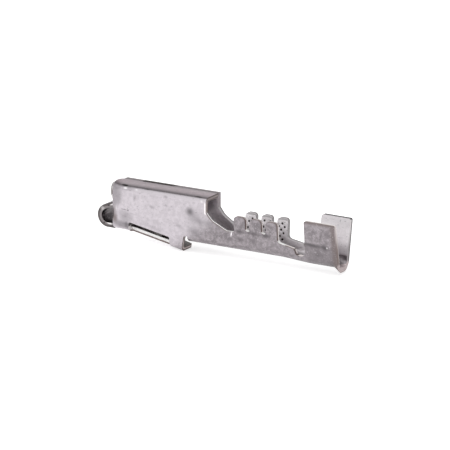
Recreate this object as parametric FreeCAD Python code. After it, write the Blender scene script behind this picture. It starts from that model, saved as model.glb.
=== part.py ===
import FreeCAD, Part

import math
import os

from FreeCAD import Vector

# Female crimp terminal, folded from one strip of tinned sheet metal. All sizes are in millimetres.
# While it is built, X = 0 is the mouth of the box, X grows towards the wire end, Y = 0 is the
# middle plane and Z = 0 is the underside of the wire barrel. At the end the part is moved so
# that its origin is the middle of the mating pin, in the plane of the mouth.

STOCK = 0.30                    # thickness of the sheet

# Box that takes the mating pin
BOX_LENGTH = 7.12
BOX_WIDTH = 1.90
BOX_TOP = 3.33                  # top face at the box's rear end
MOUTH_TOP = 3.285               # top face at the mouth, which the top slopes down to
TOP_BEND_RADIUS = 0.36          # outer radius of the bend between the near wall and the top flap
FLOOR_BEND_RADIUS = 0.45        # outer radius of the bends between the walls and the floor
PIN_HEIGHT = 1.14               # square post that the box is made for
SEAM_GAP = 0.03                 # between the top flap's edge and the far wall
OPEN_SEAM_START = 1.40          # the stretch of the seam that stands open
OPEN_SEAM_LENGTH = 2.38
OPEN_SEAM_GAP = 0.12
WALL_EDGE_RADIUS = 0.05         # die roll on the far wall's outer top edge

# Flared lead-in lip around the mouth. Its turn grows and fades along the mouth's outline.
LIP_RADIUS = 0.52               # outer face's bend radius
LIP_LENGTH = 0.70
LIP_REACH = 0.58                # start of the bend behind the mouth, per radian of turn
LIP_FULLNESS = 0.7              # under 1, the lip widens quickly at its ends
LIP_SLICES = 14
SIDE_LIP_LOW = 1.98             # height where the side lips begin
SIDE_LIP_ANGLE = 55.0           # turn of the sheet at the widest place
CORNER_LIP_ANGLE = 53.0         # turn at the top bend, from where it fades towards the seam

# Floor of the box and the locking ramp that it turns into
FLOOR_LEVEL = 0.21              # underside of the level floor at the mouth
RAMP_START = 0.62
RAMP_BEND_LENGTH = 0.46         # the floor turns into the ramp over this length
RAMP_BEND_STEPS = 4
RAMP_ANGLE = 10.2
RAMP_TO_REAR = 1.69             # from the ramp's rear edge, at the notch's top, to the box's rear
RAMP_STRIP_WIDTH = 0.86         # floor strip between the two side slots
RAMP_TAPER = 0.12               # the ramp's free far corner is drawn in by this much
RAMP_TAPER_LENGTH = 0.90

# Slots along the two lower corners of the box. The far one runs on to the notch.
SLOT_START = 1.21
SLOT_HEIGHT = 0.72              # from the ramp's underside to the slot's upper edge
SLOT_CORNER = 0.12
TAB_LENGTH = 1.10               # tab behind the near slot, which joins wall and ramp
NOTCH_TOP = 0.536               # upper edge of the notch behind the ramp
NOTCH_CORNER = 0.11
NOTCH_WIDTH = 0.26

# Front loop and contact spring, one strip
LOOP_RADIUS = 0.775             # outer radius
LOOP_REACH = 0.53               # from the mouth forward to the loop's centre
LOOP_WIDTH = 1.40               # across the loop
SPRING_WIDTH = 1.10             # across the spring, inside the box
SPRING_TAPER_FROM = -0.25       # the strip narrows from the loop's to the spring's width
SPRING_TAPER_TO = 0.12
SPRING_ROOT_LENGTH = 0.40       # the part of the strip that lies in the level floor
SPRING_RISE_ANGLE = 22.0
SPRING_FALL_ANGLE = 45.0
SPRING_CREST_RADIUS = 1.60      # at the middle of the sheet
SPRING_CREST_GAP = 0.84         # from the top flap's inner face to the crest
SPRING_FOOT_RADIUS = 0.45
SPRING_FOOT_LENGTH = 0.22
SPRING_FOOT_GAP = 0.06          # between the spring's foot and the ramp

# Open channel behind the box: neck, wire barrel and insulation barrel.
# Places along it are measured from the box's rear end.
NECK_FLOOR = 0.15
WIRE_FLAT = 0.02                # half of the flat strip between the two bottom bends
WIRE_RADIUS = 0.70              # outer radius of the bottom bends
WIRE_LEAN = 3.0                 # the walls lean outwards by this many degrees
WIRE_RUN_IN = 0.20              # the barrel's section begins this far before the fingers
WIRE_RUN_OUT = 0.10
EAR_FLAT = 0.02
EAR_RADIUS = 0.78
EAR_LEAN = 9.5
EAR_FLOOR = -0.12
WALL_TRIM_HEIGHT = 3.20         # the walls are made this high and then trimmed

# Edges of the channel's walls, as seen from the side
NECK_EDGE_TOP = 2.33            # where the neck's edge leaves the box's rear edge
NECK_KNEE = 0.38
NECK_KNEE_HEIGHT = 1.86
NECK_KNEE_RADIUS = 0.90
NECK_FOOT = 1.44
NECK_FOOT_HEIGHT = 1.30
NECK_FOOT_RADIUS = 0.30
FINGER_COUNT = 3
FINGER_FRONT = 2.05
FINGER_WIDTH = 0.84
FINGER_SLOT = 0.37
FINGER_TOP = 2.40
FINGER_CORNER = 0.24
FINGER_SLOT_BOTTOM = 1.50
FINGER_FOOT_RADIUS = 0.15
FAR_INSET = 0.12                # the far fingers and ear begin this much further back
FAR_END_INSET = 0.08            # the far fingers end this much further back
CHANNEL_EDGE_HEIGHT = 1.08      # wall behind the last finger
CHANNEL_EDGE_END = 6.62
CHANNEL_EDGE_END_HEIGHT = 0.86
CHANNEL_EDGE_RADIUS = 0.12
CHANNEL_FOOT_RADIUS = 0.25
EAR_NOTCH = 6.76
EAR_NOTCH_BOTTOM = 0.455
EAR_NOTCH_RADIUS = 0.12
EAR_FOOT = 7.48
EAR_FOOT_RADIUS = 0.30
EAR_FRONT = 7.61
EAR_REAR = 9.91
EAR_TOP = 2.98
EAR_CORNER = 0.13

# The floor's end turns down where the strip was cut from its carrier
TIP_RECESS = 0.03               # the floor's cut edge lies this far inside the ears' edges
TIP_RECESS_HEIGHT = 0.22
TIP_LENGTH = 0.40
TIP_DROP = 0.30
TIP_FLAT = 0.26                 # half of the flat at the cut, where the bends are tighter
TIP_RADIUS = 0.50
TIP_BEND_SHARE = 0.63           # how much of the drop the bottom bends take part in

# Pits pressed into the wire barrel's inner face, which bite into the strands
PIT_RADIUS = 0.080
PIT_DEPTH = 0.09
PIT_TAPER = 0.02
PIT_SIDES = 10
PIT_TOP_HEIGHT = 2.04
PIT_ROW_SPACING = 0.213
PIT_SPACING = 0.453             # between the pits of a row; every second row is staggered
PIT_FIRST = 2.715               # place of a pit of the far side's top row
PIT_LEAN = 0.041                # each row lies this much nearer to the mouth than the one above
PIT_SPREAD = 0.30               # from the rows' middle on a finger to its outermost pits

MARGIN = 1.0                    # how far a cutting shape reaches past the sheet
HALF_WIDTH = BOX_WIDTH / 2
HALF_INSIDE = HALF_WIDTH - STOCK
HALF_STRIP = RAMP_STRIP_WIDTH / 2
BOX_CEILING = BOX_TOP - STOCK
MOUTH_CEILING = MOUTH_TOP - STOCK
RAMP_REAR = BOX_LENGTH - RAMP_TO_REAR
SLOT_END = RAMP_REAR - TAB_LENGTH
NOTCH_END = RAMP_REAR + NOTCH_WIDTH
FINGERS_LENGTH = FINGER_COUNT * (FINGER_WIDTH + FINGER_SLOT) - FINGER_SLOT
FINGERS_REAR = FINGER_FRONT + FINGERS_LENGTH
PIN_AXIS_HEIGHT = BOX_CEILING - PIN_HEIGHT / 2
RAMP_SLOPE = math.tan(math.radians(RAMP_ANGLE))
FINGER_PITCH = FINGER_WIDTH + FINGER_SLOT
OVERLAP_HEIGHT = 1.00           # the box's upper walls reach down to here
LOWER_WALL_HEIGHT = 1.75        # the box's lower walls reach this far above their underside


def ramp_underside(x):
    """Height of the floor's underside in the box, with the bend at the ramp's start."""
    run = x - RAMP_START
    if run <= 0:
        return FLOOR_LEVEL
    if run < RAMP_BEND_LENGTH:
        return FLOOR_LEVEL - RAMP_SLOPE * run * run / (2 * RAMP_BEND_LENGTH)
    return FLOOR_LEVEL - RAMP_SLOPE * (run - RAMP_BEND_LENGTH / 2)


def line(start, end):
    return Part.LineSegment(start, end).toShape()


def rounded_wire(corners):
    """Closed wire through corners (point, radius): each corner with a radius becomes an arc."""
    count = len(corners)
    spans = []
    for i, (point, radius) in enumerate(corners):
        before = (corners[i - 1][0] - point).normalize()
        after = (corners[(i + 1) % count][0] - point).normalize()
        if radius <= 0:
            spans.append((point, None, point))
            continue
        half = before.getAngle(after) / 2
        inward = (before + after).normalize()
        reach = radius / math.tan(half)
        nearest = point + inward * (radius / math.sin(half) - radius)
        spans.append((point + before * reach, nearest, point + after * reach))
    edges = []
    for i, (start, middle, end) in enumerate(spans):
        if middle is not None:
            edges.append(Part.Arc(start, middle, end).toShape())
        following = spans[(i + 1) % count][0]
        if end.distanceToPoint(following) > 1e-6:
            edges.append(line(end, following))
    return Part.Wire(edges)


def side_prism(corners, y_low, y_high):
    """Solid with a side outline of corners (x, z, radius), from y_low to y_high."""
    wire = rounded_wire([(Vector(x, y_low, z), radius) for x, z, radius in corners])
    return Part.Face(wire).extrude(Vector(0, y_high - y_low, 0))


def box_between(low, high):
    size = Vector(*high) - Vector(*low)
    return Part.makeBox(size.x, size.y, size.z, Vector(*low))


def wall_face(flat, skin_radius, lean, centre, level):
    """Distance of a leaning channel wall's face from the middle plane, at a height."""
    turn = math.radians(lean)
    rise = level - centre + skin_radius * math.sin(turn)
    return flat + skin_radius * math.cos(turn) + rise * math.tan(turn)


def channel_section(x, floor, flat, radius, lean, top, drop=0.0):
    """Closed outline of an open channel at x: two walls, two bottom bends and a flat floor.

    drop lowers the flat, and the middles of the bends by a share of it.
    """
    turn = math.radians(lean)
    half_turn = (math.pi / 2 - turn) / 2 + turn
    centre = floor + radius

    def side(skin_radius, sign):
        def bend_point(angle, lowering):
            y = flat + skin_radius * math.cos(angle)
            return Vector(x, sign * y, centre - skin_radius * math.sin(angle) - lowering)
        wall_top = Vector(x, sign * wall_face(flat, skin_radius, lean, centre, top), top)
        return (wall_top, bend_point(turn, 0.0), bend_point(half_turn, drop * TIP_BEND_SHARE),
                bend_point(math.pi / 2, drop))

    outer_near, outer_far = side(radius, -1), side(radius, 1)
    inner_near, inner_far = side(radius - STOCK, -1), side(radius - STOCK, 1)
    edges = [
        line(outer_near[0], outer_near[1]),
        Part.Arc(outer_near[1], outer_near[2], outer_near[3]).toShape(),
        line(outer_near[3], outer_far[3]),
        Part.Arc(outer_far[3], outer_far[2], outer_far[1]).toShape(),
        line(outer_far[1], outer_far[0]),
        line(outer_far[0], inner_far[0]),
        line(inner_far[0], inner_far[1]),
        Part.Arc(inner_far[1], inner_far[2], inner_far[3]).toShape(),
        line(inner_far[3], inner_near[3]),
        Part.Arc(inner_near[3], inner_near[2], inner_near[1]).toShape(),
        line(inner_near[1], inner_near[0]),
        line(inner_near[0], outer_near[0]),
    ]
    return Part.Wire(edges)


def lower_box():
    """Floor, ramp and the lower halves of the box's walls, with the slots and the notch."""
    bend_step = RAMP_BEND_LENGTH / RAMP_BEND_STEPS
    stations = [0.0] + [RAMP_START + i * bend_step for i in range(RAMP_BEND_STEPS + 1)]
    stations.append(NOTCH_END)
    flat = HALF_WIDTH - FLOOR_BEND_RADIUS
    sections = []
    for x in stations:
        floor = ramp_underside(x)
        sections.append(channel_section(x, floor, flat, FLOOR_BEND_RADIUS, 0.0,
                                        floor + LOWER_WALL_HEIGHT))
    shell = Part.makeLoft(sections, True, True)
    shell = shell.cut(slot(SLOT_END, -1)).cut(slot(NOTCH_END, 1))
    shell = shell.cut(rear_notch())
    return shell.cut(ramp_corner())


def slot(end, side):
    """Cutting shape of a slot along one lower corner of the box. side is -1 or 1."""
    low = ramp_underside(NOTCH_END) - MARGIN
    top_front = ramp_underside(SLOT_START) + SLOT_HEIGHT
    top_rear = ramp_underside(end) + SLOT_HEIGHT
    corners = [(SLOT_START, low, 0.0), (SLOT_START, top_front, SLOT_CORNER),
               (end, top_rear, SLOT_CORNER), (end, low, 0.0)]
    y_edge, y_out = side * HALF_STRIP, side * (HALF_WIDTH + MARGIN)
    shape = side_prism(corners, min(y_edge, y_out), max(y_edge, y_out))
    upright = [edge for edge in shape.Edges
               if edge.Length > 0.5 and abs(edge.tangentAt(edge.FirstParameter).z) > 0.99
               and abs(edge.CenterOfMass.y - y_edge) < 1e-4]
    return shape.makeFillet(SLOT_CORNER, upright)


def rear_notch():
    """Gap between the ramp's rear edge, which is square to the ramp, and the neck's floor."""
    depth = NOTCH_TOP - ramp_underside(NOTCH_END) + MARGIN
    corners = [(RAMP_REAR - depth * RAMP_SLOPE, NOTCH_TOP - depth, 0.0),
               (RAMP_REAR, NOTCH_TOP, NOTCH_CORNER),
               (NOTCH_END, NOTCH_TOP, 0.0), (NOTCH_END, NOTCH_TOP - depth, 0.0)]
    reach = HALF_WIDTH + MARGIN
    far_corners = [(SLOT_END, ramp_underside(SLOT_END) - MARGIN, 0.0),
                   (SLOT_END, ramp_underside(SLOT_END) + SLOT_HEIGHT, 0.0),
                   (RAMP_REAR - SLOT_CORNER, NOTCH_TOP, 0.0), (NOTCH_END, NOTCH_TOP, 0.0),
                   (NOTCH_END, ramp_underside(SLOT_END) - MARGIN, 0.0)]
    far_slope = side_prism(far_corners, HALF_STRIP, reach)
    return side_prism(corners, -reach, reach).fuse(far_slope)


def ramp_corner():
    """Wedge that draws in the free far corner of the ramp."""
    low = ramp_underside(NOTCH_END) - MARGIN
    points = [Vector(RAMP_REAR - RAMP_TAPER_LENGTH, HALF_STRIP, low),
              Vector(RAMP_REAR, HALF_STRIP - RAMP_TAPER, low),
              Vector(NOTCH_END, HALF_STRIP - RAMP_TAPER, low),
              Vector(NOTCH_END, HALF_STRIP + SLOT_CORNER, low),
              Vector(RAMP_REAR - RAMP_TAPER_LENGTH, HALF_STRIP + SLOT_CORNER, low)]
    wedge = Part.Face(Part.makePolygon(points + points[:1]))
    return wedge.extrude(Vector(0, 0, NOTCH_TOP - STOCK - low))


def sloped_shell(outline):
    """Solid along the box from outline(top): level near the mouth, then rising to the rear."""
    level = Part.Face(rounded_wire(outline(MOUTH_TOP))).extrude(Vector(LIP_LENGTH, 0, 0))
    rising = Part.Face(rounded_wire(outline(MOUTH_TOP)))
    rising.translate(Vector(LIP_LENGTH, 0, 0))
    return level, rising.extrude(Vector(BOX_LENGTH - LIP_LENGTH, 0, BOX_TOP - MOUTH_TOP))


def near_wall_and_flap():
    """Upper near wall, top bend and the top flap that is folded over to the far wall."""
    flap_edge = HALF_INSIDE - SEAM_GAP

    def outline(top):
        return [(Vector(0, -HALF_WIDTH, OVERLAP_HEIGHT), 0.0),
                (Vector(0, -HALF_WIDTH, top), TOP_BEND_RADIUS),
                (Vector(0, flap_edge, top), 0.0),
                (Vector(0, flap_edge, top - STOCK), 0.0),
                (Vector(0, -HALF_INSIDE, top - STOCK), TOP_BEND_RADIUS - STOCK),
                (Vector(0, -HALF_INSIDE, OVERLAP_HEIGHT), 0.0)]

    bend_y, bend_z = TOP_BEND_RADIUS - HALF_WIDTH, MOUTH_TOP - TOP_BEND_RADIUS
    reach = HALF_WIDTH + MARGIN
    level, rising = sloped_shell(outline)
    level = level.cut([
        box_between((-MARGIN, -reach, SIDE_LIP_LOW), (LIP_LENGTH, bend_y, BOX_TOP + MARGIN)),
        box_between((-MARGIN, bend_y, bend_z), (LIP_LENGTH, flap_edge, BOX_TOP + MARGIN))])
    corner_phase = math.asin((CORNER_LIP_ANGLE / SIDE_LIP_ANGLE) ** (1 / LIP_FULLNESS))

    def on_side(x, out, height):
        return Vector(x, -HALF_WIDTH - out, height)

    side_lip = lip(SIDE_LIP_LOW, bend_z, SIDE_LIP_ANGLE, 0.0, math.pi - corner_phase, on_side)
    top_lip = lip(bend_y, flap_edge, CORNER_LIP_ANGLE, math.pi / 2, math.pi,
                  lambda x, out, y: Vector(x, y, MOUTH_TOP + out))
    corner = Part.Face(lip_slice(bend_z, CORNER_LIP_ANGLE, on_side))
    corner_lip = corner.revolve(Vector(0, bend_y, bend_z), Vector(-1, 0, 0), 90)
    shell = rising.fuse([level, side_lip, corner_lip, top_lip])

    open_edge = HALF_INSIDE - OPEN_SEAM_GAP
    gap = box_between((OPEN_SEAM_START, open_edge, BOX_CEILING - MARGIN),
                      (OPEN_SEAM_START + OPEN_SEAM_LENGTH, HALF_INSIDE, BOX_TOP + MARGIN))
    ends = [edge for edge in gap.Edges
            if edge.Length > MARGIN and abs(edge.tangentAt(0).z) > 0.99
            and abs(edge.CenterOfMass.y - open_edge) < 1e-4]
    return shell.cut(gap.makeFillet(OPEN_SEAM_GAP / 2, ends))


def far_wall():
    """Upper far wall, which runs straight up and shows its cut edge on top."""

    def outline(top):
        return [(Vector(0, HALF_INSIDE, OVERLAP_HEIGHT), 0.0),
                (Vector(0, HALF_INSIDE, top), 0.0),
                (Vector(0, HALF_WIDTH, top), WALL_EDGE_RADIUS),
                (Vector(0, HALF_WIDTH, OVERLAP_HEIGHT), 0.0)]

    lip_high = MOUTH_TOP - WALL_EDGE_RADIUS
    level, rising = sloped_shell(outline)
    level = level.cut(box_between((-MARGIN, HALF_INSIDE, SIDE_LIP_LOW),
                                  (LIP_LENGTH, HALF_WIDTH + MARGIN, lip_high)))
    side_lip = lip(SIDE_LIP_LOW, lip_high, SIDE_LIP_ANGLE, 0.0, math.pi,
                   lambda x, out, height: Vector(x, HALF_WIDTH + out, height))
    return rising.fuse([level, side_lip])


def lip(low, high, widest_angle, first_phase, last_phase, place):
    """Flared end of one side of the box, through slices whose turn grows and fades."""
    slices = []
    for i in range(LIP_SLICES):
        level = low + (high - low) * i / (LIP_SLICES - 1)
        phase = first_phase + (last_phase - first_phase) * i / (LIP_SLICES - 1)
        angle = widest_angle * max(math.sin(phase), 0.0) ** LIP_FULLNESS
        slices.append(lip_slice(level, angle if angle > 1.0 else 0.0, place))
    return Part.makeLoft(slices, True, True)


def lip_slice(level, degrees, place):
    """One slice of a lip. place turns x, outward distance and level into a point."""
    angle = math.radians(degrees)
    start = max(LIP_REACH * angle, 0.02)

    def skin(depth):
        if angle == 0:
            return line(place(start, -depth, level), place(0, -depth, level))
        radius = LIP_RADIUS + depth
        points = [place(start - radius * math.sin(turn),
                        radius * (1 - math.cos(turn)) - depth, level)
                  for turn in (0, angle / 2, angle)]
        return Part.Arc(*points).toShape()

    outer, inner = skin(0), skin(STOCK)
    edges = [
        line(place(LIP_LENGTH, 0, level), place(start, 0, level)),
        outer,
        line(outer.Vertexes[-1].Point, inner.Vertexes[-1].Point),
        inner,
        line(place(start, -STOCK, level), place(LIP_LENGTH, -STOCK, level)),
        line(place(LIP_LENGTH, -STOCK, level), place(LIP_LENGTH, 0, level)),
    ]
    return Part.Wire(edges)


def ribbon(x, z, heading, moves):
    """Side outline of a bent strip. Moves are (length, 0) or (radius, turn in degrees)."""
    skins = {1: [], -1: []}
    heading = math.radians(heading)
    for size, turn in moves:
        if turn == 0:
            def at(share, offset):
                travel = size * share
                return Vector(x + travel * math.cos(heading) - offset * math.sin(heading), 0,
                              z + travel * math.sin(heading) + offset * math.cos(heading))
            for side in skins:
                offset = side * STOCK / 2
                skins[side].append((at(0, offset), None, at(1, offset)))
            x, z = x + size * math.cos(heading), z + size * math.sin(heading)
            continue
        way = math.copysign(1, turn)
        centre_x = x - way * size * math.sin(heading)
        centre_z = z + way * size * math.cos(heading)

        def on_arc(share, offset):
            now = heading + math.radians(turn) * share
            reach = way * size - offset
            return Vector(centre_x + reach * math.sin(now), 0, centre_z - reach * math.cos(now))
        for side in skins:
            offset = side * STOCK / 2
            skins[side].append((on_arc(0, offset), on_arc(0.5, offset), on_arc(1, offset)))
        middle = on_arc(1, 0)
        x, z = middle.x, middle.z
        heading += math.radians(turn)
    edges = []
    for side in skins:
        for start, middle, end in skins[side]:
            edges.append(line(start, end) if middle is None else Part.Arc(start, middle, end).toShape())
    edges.append(line(skins[1][0][0], skins[-1][0][0]))
    edges.append(line(skins[1][-1][2], skins[-1][-1][2]))
    return Part.Wire(Part.__sortEdges__(edges))


def loop_and_spring():
    """Strip that goes on from the floor, round the front loop and back into the box."""
    half = STOCK / 2
    middle_radius = LOOP_RADIUS - half
    rise, fall = math.radians(SPRING_RISE_ANGLE), math.radians(SPRING_FALL_ANGLE)
    ramp = math.radians(RAMP_ANGLE)
    loop_x = -LOOP_REACH - middle_radius * math.sin(rise)
    loop_z = FLOOR_LEVEL + LOOP_RADIUS + middle_radius * math.cos(rise)
    crest_z = BOX_CEILING - SPRING_CREST_GAP - half
    rise_length = (crest_z - SPRING_CREST_RADIUS * (1 - math.cos(rise)) - loop_z) / math.sin(rise)
    crest_x = loop_x + rise_length * math.cos(rise) + SPRING_CREST_RADIUS * math.sin(rise)
    fall_x = crest_x + SPRING_CREST_RADIUS * math.sin(fall)
    fall_z = crest_z - SPRING_CREST_RADIUS * (1 - math.cos(fall))
    foot_x = fall_x + SPRING_FOOT_RADIUS * (math.sin(fall) - math.sin(ramp))
    foot_z = fall_z - SPRING_FOOT_RADIUS * (math.cos(ramp) - math.cos(fall))
    above = foot_z - (ramp_underside(foot_x) + STOCK + SPRING_FOOT_GAP + half)
    fall_length = above / (math.sin(fall) - RAMP_SLOPE * math.cos(fall))
    moves = [(SPRING_ROOT_LENGTH + LOOP_REACH, 0),
             (middle_radius, SPRING_RISE_ANGLE - 180),
             (rise_length, 0),
             (SPRING_CREST_RADIUS, -SPRING_RISE_ANGLE - SPRING_FALL_ANGLE),
             (fall_length, 0),
             (SPRING_FOOT_RADIUS, SPRING_FALL_ANGLE - RAMP_ANGLE),
             (SPRING_FOOT_LENGTH, 0)]
    outline = ribbon(SPRING_ROOT_LENGTH, FLOOR_LEVEL + half, 180.0, moves)
    strip = Part.Face(outline).extrude(Vector(0, LOOP_WIDTH, 0))
    strip.translate(Vector(0, -LOOP_WIDTH / 2, 0))
    edge, narrow, wide = LOOP_WIDTH / 2, SPRING_WIDTH / 2, LOOP_WIDTH / 2 + MARGIN
    flat = HALF_WIDTH - FLOOR_BEND_RADIUS
    middle = FLOOR_LEVEL + LOOP_RADIUS
    for side in (-1, 1):
        taper = [(SPRING_TAPER_FROM, edge), (SPRING_TAPER_TO, narrow), (BOX_LENGTH, narrow),
                 (BOX_LENGTH, wide), (SPRING_TAPER_FROM, wide)]
        strip = strip.cut(plan_prism(taper, side, middle, BOX_TOP))
        root = [(0.0, flat), (BOX_LENGTH, flat), (BOX_LENGTH, wide), (0.0, wide)]
        strip = strip.cut(plan_prism(root, side, FLOOR_LEVEL - MARGIN, middle))
    return strip


def plan_prism(outline, side, low, high):
    """Solid between two heights over an outline (x, y). side is -1 for the near half."""
    points = [Vector(x, side * y, low) for x, y in outline]
    return Part.Face(Part.makePolygon(points + points[:1])).extrude(Vector(0, 0, high - low))


def channel_outline(inset, end_inset):
    """Side outline of the neck, the fingers, the low wall and the ear of one side."""
    low = EAR_FLOOR - TIP_DROP - MARGIN
    rear = BOX_LENGTH
    corners = [(NOTCH_END, low, 0.0),
               (NOTCH_END, NECK_EDGE_TOP, 0.0),
               (rear, NECK_EDGE_TOP, 0.0),
               (rear + NECK_KNEE, NECK_KNEE_HEIGHT, NECK_KNEE_RADIUS),
               (rear + NECK_FOOT, NECK_FOOT_HEIGHT, NECK_FOOT_RADIUS)]
    for i in range(FINGER_COUNT):
        finger_front = rear + FINGER_FRONT + i * FINGER_PITCH
        finger_rear = finger_front + FINGER_WIDTH + end_inset
        front_foot = NECK_FOOT_HEIGHT if i == 0 else FINGER_SLOT_BOTTOM
        corners.append((finger_front + inset, front_foot, FINGER_FOOT_RADIUS))
        corners.append((finger_front + inset, FINGER_TOP, FINGER_CORNER))
        corners.append((finger_rear, FINGER_TOP, FINGER_CORNER))
        if i < FINGER_COUNT - 1:
            corners.append((finger_rear, FINGER_SLOT_BOTTOM, FINGER_FOOT_RADIUS))
    corners += [(rear + FINGERS_REAR + end_inset, CHANNEL_EDGE_HEIGHT, CHANNEL_FOOT_RADIUS),
                (rear + CHANNEL_EDGE_END, CHANNEL_EDGE_END_HEIGHT, CHANNEL_EDGE_RADIUS),
                (rear + EAR_NOTCH, EAR_NOTCH_BOTTOM, EAR_NOTCH_RADIUS),
                (rear + EAR_FOOT + inset, EAR_NOTCH_BOTTOM, EAR_FOOT_RADIUS),
                (rear + EAR_FRONT + inset, EAR_TOP, EAR_CORNER),
                (rear + EAR_REAR, EAR_TOP, EAR_CORNER),
                (rear + EAR_REAR, TIP_RECESS_HEIGHT, 0.0),
                (rear + EAR_REAR - TIP_RECESS, TIP_RECESS_HEIGHT - STOCK, 0.0),
                (rear + EAR_REAR - TIP_RECESS, low, 0.0)]
    return corners


def channel():
    """Neck, wire barrel and insulation barrel, with pits in the wire barrel's inner face."""
    box = (NECK_FLOOR, HALF_WIDTH - FLOOR_BEND_RADIUS, FLOOR_BEND_RADIUS, 0.0)
    wire = (0.0, WIRE_FLAT, WIRE_RADIUS, WIRE_LEAN)
    ear = (EAR_FLOOR, EAR_FLAT, EAR_RADIUS, EAR_LEAN)
    tip = (EAR_FLOOR, TIP_FLAT, TIP_RADIUS, EAR_LEAN)
    stations = [(NOTCH_END - BOX_LENGTH, box, 0.0), (0.0, box, 0.0),
                (FINGER_FRONT - WIRE_RUN_IN, wire, 0.0), (FINGERS_REAR + WIRE_RUN_OUT, wire, 0.0),
                (EAR_FOOT, ear, 0.0), (EAR_REAR - TIP_LENGTH, ear, 0.0), (EAR_REAR, tip, TIP_DROP)]
    sections = [channel_section(BOX_LENGTH + x, *form, WALL_TRIM_HEIGHT, drop)
                for x, form, drop in stations]
    shell = Part.makeLoft(sections, True, True)
    reach = HALF_WIDTH + MARGIN
    near = side_prism(channel_outline(0.0, 0.0), -reach, 0.0)
    far = side_prism(channel_outline(FAR_INSET, FAR_END_INSET), 0.0, reach)
    return shell.common(near.fuse(far)).cut(pits())


def pits():
    """Staggered, slightly leaning rows of many-sided pits across each finger, on both sides."""
    turn = math.radians(WIRE_LEAN)
    lowest = WIRE_RADIUS + PIT_RADIUS
    places = ((-1, (FAR_INSET + FAR_END_INSET) / 2), (1, 0.0))
    rows = int((PIT_TOP_HEIGHT - lowest) / PIT_ROW_SPACING) + 1
    shapes = []
    for i in range(FINGER_COUNT):
        finger_middle = FINGER_FRONT + i * FINGER_PITCH + FAR_INSET + FINGER_WIDTH / 2
        for row in range(rows):
            level = PIT_TOP_HEIGHT - row * PIT_ROW_SPACING
            y = wall_face(WIRE_FLAT, WIRE_RADIUS - STOCK, WIRE_LEAN, WIRE_RADIUS, level)
            middle = finger_middle - row * PIT_LEAN
            x = PIT_FIRST - row * PIT_LEAN + (row % 2) * PIT_SPACING / 2
            x += PIT_SPACING * math.ceil((middle - PIT_SPREAD - x) / PIT_SPACING)
            while x < middle + PIT_SPREAD:
                for side, forward in places:
                    axis = Vector(0, side * math.cos(turn), -math.sin(turn))
                    shapes.append(pit(Vector(BOX_LENGTH + x - forward, side * y, level), axis))
                x += PIT_SPACING
    return Part.makeCompound(shapes)


def pit(place, axis):
    """Cutting shape of one pit, which narrows from PIT_DEPTH above the sheet to its bottom."""
    upright = axis.cross(Vector(1, 0, 0))
    rings = []
    for depth, radius in ((-PIT_DEPTH, PIT_RADIUS + PIT_TAPER), (PIT_DEPTH, PIT_RADIUS - PIT_TAPER)):
        points = []
        for i in range(PIT_SIDES):
            angle = 2 * math.pi * i / PIT_SIDES
            around = Vector(1, 0, 0) * math.cos(angle) + upright * math.sin(angle)
            points.append(place + axis * depth + around * radius)
        rings.append(Part.makePolygon(points + points[:1]))
    return Part.makeLoft(rings, True, True)


def terminal():
    pieces = [near_wall_and_flap(), far_wall(), loop_and_spring(), channel()]
    shape = lower_box().fuse(pieces).removeSplitter()
    shape.translate(Vector(0, 0, -PIN_AXIS_HEIGHT))
    return shape.Solids[0] if len(shape.Solids) == 1 else shape


os.makedirs("parts", exist_ok=True)
terminal().exportStep("parts/terminal.step")
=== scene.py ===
"""Female crimp terminal: the look of the folded strip, on a plain pale stage."""

import math

import bmesh
import bpy
from mathutils import Matrix, Vector


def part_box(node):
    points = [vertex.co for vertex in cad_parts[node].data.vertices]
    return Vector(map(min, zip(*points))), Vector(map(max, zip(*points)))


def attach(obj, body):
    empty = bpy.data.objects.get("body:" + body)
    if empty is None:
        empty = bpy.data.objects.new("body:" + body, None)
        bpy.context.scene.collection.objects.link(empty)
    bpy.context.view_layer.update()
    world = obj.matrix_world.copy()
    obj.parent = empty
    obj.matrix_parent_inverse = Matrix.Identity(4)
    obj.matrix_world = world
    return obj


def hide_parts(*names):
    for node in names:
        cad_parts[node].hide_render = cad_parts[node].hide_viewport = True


bl_info = {
    "name": "Crimp Terminal",
    "version": (1, 0, 0),
    "blender": (4, 5, 0),
    "location": "3D View > Sidebar > Crimp Terminal",
    "description": "Finishes a folded tin-plated crimp terminal and sets it on a plain stage",
    "category": "Object",
}

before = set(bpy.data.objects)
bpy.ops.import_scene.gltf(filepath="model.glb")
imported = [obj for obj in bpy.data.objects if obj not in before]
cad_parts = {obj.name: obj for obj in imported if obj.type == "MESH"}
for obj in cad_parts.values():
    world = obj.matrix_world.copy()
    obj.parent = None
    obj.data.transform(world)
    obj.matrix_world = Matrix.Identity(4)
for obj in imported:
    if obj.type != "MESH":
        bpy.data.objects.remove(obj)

MM = 0.001
NODE = "terminal"
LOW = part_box(NODE)[0]
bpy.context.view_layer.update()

# Camera of the photograph: where the middle of the picture lies on the object, how wide the
# picture is there, the view's degrees round from the front and above it, the sensor in mm as
# the lens is, and the nearest distance that is seen, in metres
AIM = Vector((6.138, 3.073, -2.048)) * MM
PICTURE_WIDTH = 29.41 * MM
AZIMUTH = 31.5
ELEVATION = 16.0
SENSOR_WIDTH = 36.0
NEAREST_SEEN = 0.001

# Directions: X runs from the mouth to the ears, Y from the near side to the far one, Z upwards
X, Y, Z = (1, 0, 0), (0, 1, 0), (0, 0, 1)
ACROSS_TOP = (-0.004, 0.8, 0.6)     # over the top bend, on a top that rises a little to the rear
ABOVE_RAMP = (0.18, 0, 1)           # height over the locking ramp, which falls to the rear
TO_BARRELS = (1, 0, -1.23)          # to the rear, and sooner low down

# Stretches over which one finish gives way to another, in mm
NEAR_TO_FAR = (-0.05, 0.05)
INTO_BARRELS = (8.5, 9.2)
INTO_EARS = (14.0, 14.1)
SPRING_END = (5.8, 6.2)

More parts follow.
